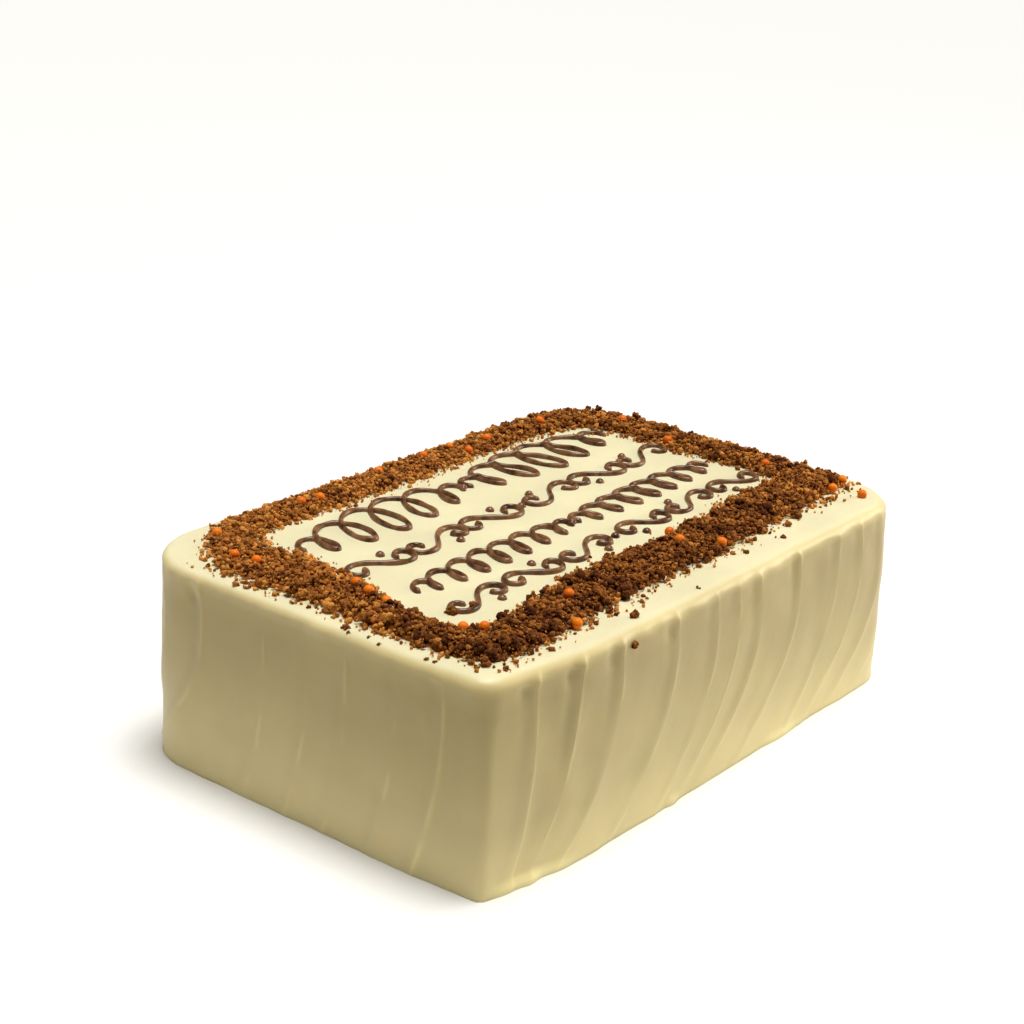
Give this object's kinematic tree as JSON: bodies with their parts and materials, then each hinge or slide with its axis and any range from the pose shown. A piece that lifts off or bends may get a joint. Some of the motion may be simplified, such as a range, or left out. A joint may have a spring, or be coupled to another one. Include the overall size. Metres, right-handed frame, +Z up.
{
  "type": "carrot cake",
  "caption": "Whole frosted carrot sheet cake with a crumb and sugar pearl border and piped chocolate scrollwork on its top.",
  "frame": {"origin": "middle of the flat base, under the cake", "axes": "+X along the cake's long side, +Y along its short side away from the front, +Z up out of the top"},
  "size_m": [0.3358, 0.2235, 0.1101],
  "materials": {
    "frosting": "soft satin cream cheese frosting, smoothed with a knife, with fine drag marks",
    "chocolate": "dark piped chocolate, dull satin",
    "crumb": "dry, rough carrot cake crumbs, golden to dark brown",
    "sugar_pearl": "polished orange sugar pearls"
  },
  "bodies": {
    "root": {"frosted_cake": "frosting", "crumb_border": "crumb"}
  },
  "joints": []
}
